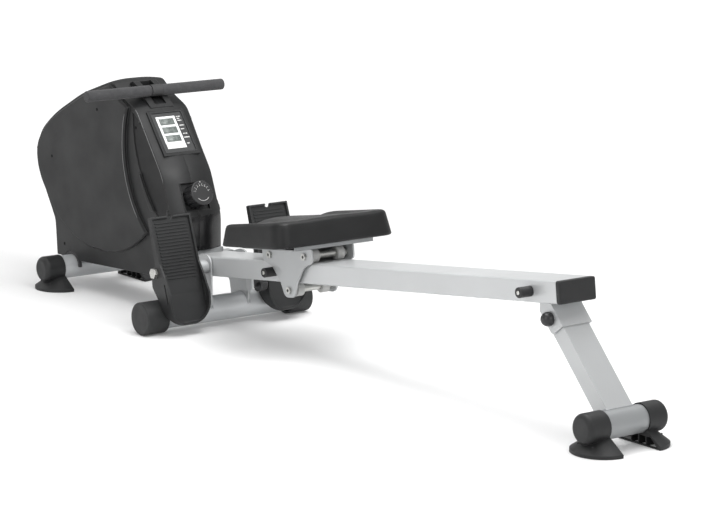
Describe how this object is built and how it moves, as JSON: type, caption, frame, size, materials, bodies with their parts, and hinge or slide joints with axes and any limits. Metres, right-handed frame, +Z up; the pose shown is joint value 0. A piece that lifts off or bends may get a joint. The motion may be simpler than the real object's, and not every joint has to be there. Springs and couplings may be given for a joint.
{
  "type": "rowing machine",
  "caption": "Folding magnetic rowing machine with a flywheel housing, sliding seat on an inclined rail, tilting footplates, pull handle and folding rear leg.",
  "frame": {"origin": "on the floor, under the middle of the machine's length and width", "axes": "+X from the flywheel housing to the rear leg, along the seat's travel as seen from above; +Y to the rower's right; +Z up"},
  "size_m": [2.2788, 0.486, 0.5623],
  "materials": {
    "rail_silver": "silver-grey paint, satin",
    "tube_silver": "silver-grey paint, satin",
    "plate_silver": "silver-grey paint",
    "carrier_steel": "black paint",
    "housing_black": "moulded, fine matt grain",
    "cap_black": "moulded, fine grain",
    "pedal_black": "moulded",
    "roller_black": "moulded",
    "knob_black": "smooth black",
    "console_plastic": "smooth black",
    "screen": "clear window over a grey display",
    "button_white": "smooth white",
    "foam": "closed-cell foam",
    "stop_rubber": "black rubber",
    "seat_cover": "moulded polyurethane, soft grain",
    "bar_steel": "steel tube",
    "zinc": "zinc-plated",
    "wheel_nylon": "white nylon",
    "drive_plastic": "glass-filled nylon",
    "cast_iron": "machined rim",
    "pulley_alloy": "turned",
    "webbing": "woven webbing",
    "belt_rubber": "ribbed belt"
  },
  "bodies": {
    "frame": {"front_stabilizer": "tube_silver", "foot_front_left": "cap_black", "foot_front_right": "cap_black", "mid_stabilizer": "tube_silver", "main_frame": "tube_silver", "hinge_plate_left": "plate_silver", "hinge_plate_right": "plate_silver", "carrier_left": "carrier_steel", "carrier_right": "carrier_steel", "top_plate": "plate_silver", "pedal_stop_bar": "plate_silver", "housing_left": "housing_black", "housing_right": "housing_black", "handle_rest": "housing_black", "console_bezel": "console_plastic", "console_screen": "screen", "pedal_axle": "zinc", "axle_nuts": "zinc", "shafts": "zinc", "recoil_case": "drive_plastic", "strap_inner": "webbing", "belt": "belt_rubber"},
    "rail": {"rail": "rail_silver", "rail_bracket": "rail_silver", "rail_end_cap": "cap_black", "rail_stops": "stop_rubber", "leg_bracket": "rail_silver", "leg_bolt": "zinc"},
    "leg": {"leg_tube": "rail_silver", "rear_stabilizer": "tube_silver", "foot_rear_left": "cap_black", "foot_rear_right": "cap_black"},
    "leg_knob": {"leg_knob": "knob_black"},
    "clamp_knob": {"rail_clamp_knob": "knob_black"},
    "carriage": {"carriage_plate_left": "plate_silver", "carriage_plate_right": "plate_silver", "carriage_axles": "zinc", "seat_base": "plate_silver", "seat_pad": "seat_cover"},
    "wheels_front": {"roller_front": "wheel_nylon"},
    "wheels_rear": {"roller_rear": "wheel_nylon"},
    "wheels_under": {"roller_under": "wheel_nylon"},
    "handle": {"handle_bar": "bar_steel", "handle_grips": "foam", "strap_clip": "drive_plastic", "strap": "webbing"},
    "reel": {"strap_reel": "drive_plastic"},
    "guide": {"guide_roller": "wheel_nylon"},
    "flywheel": {"flywheel": "cast_iron", "flywheel_pulley": "pulley_alloy"},
    "drive": {"drive_pulley": "drive_plastic"},
    "knob": {"resistance_knob": "knob_black"},
    "magnets": {"magnet_bracket": "carrier_steel"},
    "button": {"console_button": "button_white"},
    "transport_left": {"roller_left": "roller_black"},
    "transport_right": {"roller_right": "roller_black"},
    "pedal_left": {"pedal_left": "pedal_black"},
    "pedal_right": {"pedal_right": "pedal_black"}
  },
  "joints": [
    {"name": "rail_fold", "type": "hinge", "parent": "frame", "child": "rail", "pos_m": [-0.36855, 0, 0.1485], "axis": [0, -1, 0], "range_deg": [0, 83]},
    {"name": "rail_clamp_turn", "type": "hinge", "parent": "frame", "child": "clamp_knob", "pos_m": [-0.31417, 0.07, 0.09867], "axis": [0, 1, 0], "range_deg": [0, 720]},
    {"name": "leg_fold", "type": "hinge", "parent": "rail", "child": "leg", "pos_m": [0.89315, 0, 0.24377], "axis": [0, 1, 0], "range_deg": [0, 110]},
    {"name": "leg_knob_turn", "type": "hinge", "parent": "rail", "child": "leg_knob", "pos_m": [0.89315, -0.06, 0.24377], "axis": [0, 1, 0], "range_deg": [0, 720]},
    {"name": "seat_slide", "type": "slide", "parent": "rail", "child": "carriage", "axis": [0.9928, 0, 0.1201], "range_m": [0, 0.793]},
    {"name": "wheels_front_spin", "type": "hinge", "parent": "carriage", "child": "wheels_front", "pos_m": [-0.09098, 0, 0.22298], "axis": [0, 1, 0], "range_deg": [0, 2840.7]},
    {"name": "wheels_rear_spin", "type": "hinge", "parent": "carriage", "child": "wheels_rear", "pos_m": [0.048, 0, 0.2398], "axis": [0, 1, 0], "range_deg": [0, 2840.7]},
    {"name": "wheels_under_spin", "type": "hinge", "parent": "carriage", "child": "wheels_under", "pos_m": [-0.01174, 0, 0.15078], "axis": [0, 1, 0], "range_deg": [-2840.7, 0]},
    {"name": "handle_pull", "type": "slide", "parent": "frame", "child": "handle", "axis": [0.9781, 0, 0.2079], "range_m": [0, 1], "stiffness_N_per_m": 15, "springref_m": -1},
    {"name": "reel_spin", "type": "hinge", "parent": "frame", "child": "reel", "pos_m": [-0.70655, 0, 0.33], "axis": [0, 1, 0], "range_deg": [0, 1175.1]},
    {"name": "guide_spin", "type": "hinge", "parent": "frame", "child": "guide", "pos_m": [-0.7327, 0, 0.51537], "axis": [0, 1, 0], "range_deg": [0, 4856.6]},
    {"name": "flywheel_spin", "type": "hinge", "parent": "frame", "child": "flywheel", "pos_m": [-0.94655, 0, 0.322], "axis": [0, 1, 0], "continuous": true},
    {"name": "drive_spin", "type": "hinge", "parent": "frame", "child": "drive", "pos_m": [-0.70655, 0, 0.33], "axis": [0, 1, 0], "continuous": true},
    {"name": "knob_turn", "type": "hinge", "parent": "frame", "child": "knob", "pos_m": [-0.50343, 0, 0.29409], "axis": [0.9181, 0, 0.3963], "range_deg": [0, 270]},
    {"name": "magnet_swing", "type": "hinge", "parent": "frame", "child": "magnets", "pos_m": [-1.04022, 0, 0.21796], "axis": [0, 1, 0], "range_deg": [-4.2, 0]},
    {"name": "console_press", "type": "slide", "parent": "frame", "child": "button", "axis": [-0.776, 0, -0.6307], "range_m": [0, 0.0015], "stiffness_N_per_m": 600, "springref_m": -0.001},
    {"name": "transport_left_spin", "type": "hinge", "parent": "frame", "child": "transport_left", "pos_m": [-0.37555, -0.208, 0.04], "axis": [0, 1, 0], "continuous": true},
    {"name": "transport_right_spin", "type": "hinge", "parent": "frame", "child": "transport_right", "pos_m": [-0.37555, 0.208, 0.04], "axis": [0, 1, 0], "continuous": true},
    {"name": "pedal_left_tilt", "type": "hinge", "parent": "frame", "child": "pedal_left", "pos_m": [-0.36855, -0.143, 0.1485], "axis": [0, -1, 0], "range_deg": [0, 60]},
    {"name": "pedal_right_tilt", "type": "hinge", "parent": "frame", "child": "pedal_right", "pos_m": [-0.36855, 0.143, 0.1485], "axis": [0, -1, 0], "range_deg": [0, 60]}
  ],
  "couplings": [
    {"joint": "wheels_front_spin", "follows": "seat_slide", "rad_per_m": 62.5},
    {"joint": "wheels_rear_spin", "follows": "seat_slide", "rad_per_m": 62.5},
    {"joint": "wheels_under_spin", "follows": "seat_slide", "rad_per_m": -62.5},
    {"joint": "reel_spin", "follows": "handle_pull", "rad_per_m": 20.492},
    {"joint": "guide_spin", "follows": "handle_pull", "rad_per_m": 84.746},
    {"joint": "drive_spin", "follows": "flywheel_spin", "ratio": 0.27273},
    {"joint": "magnet_swing", "follows": "knob_turn", "ratio": -0.0148}
  ]
}
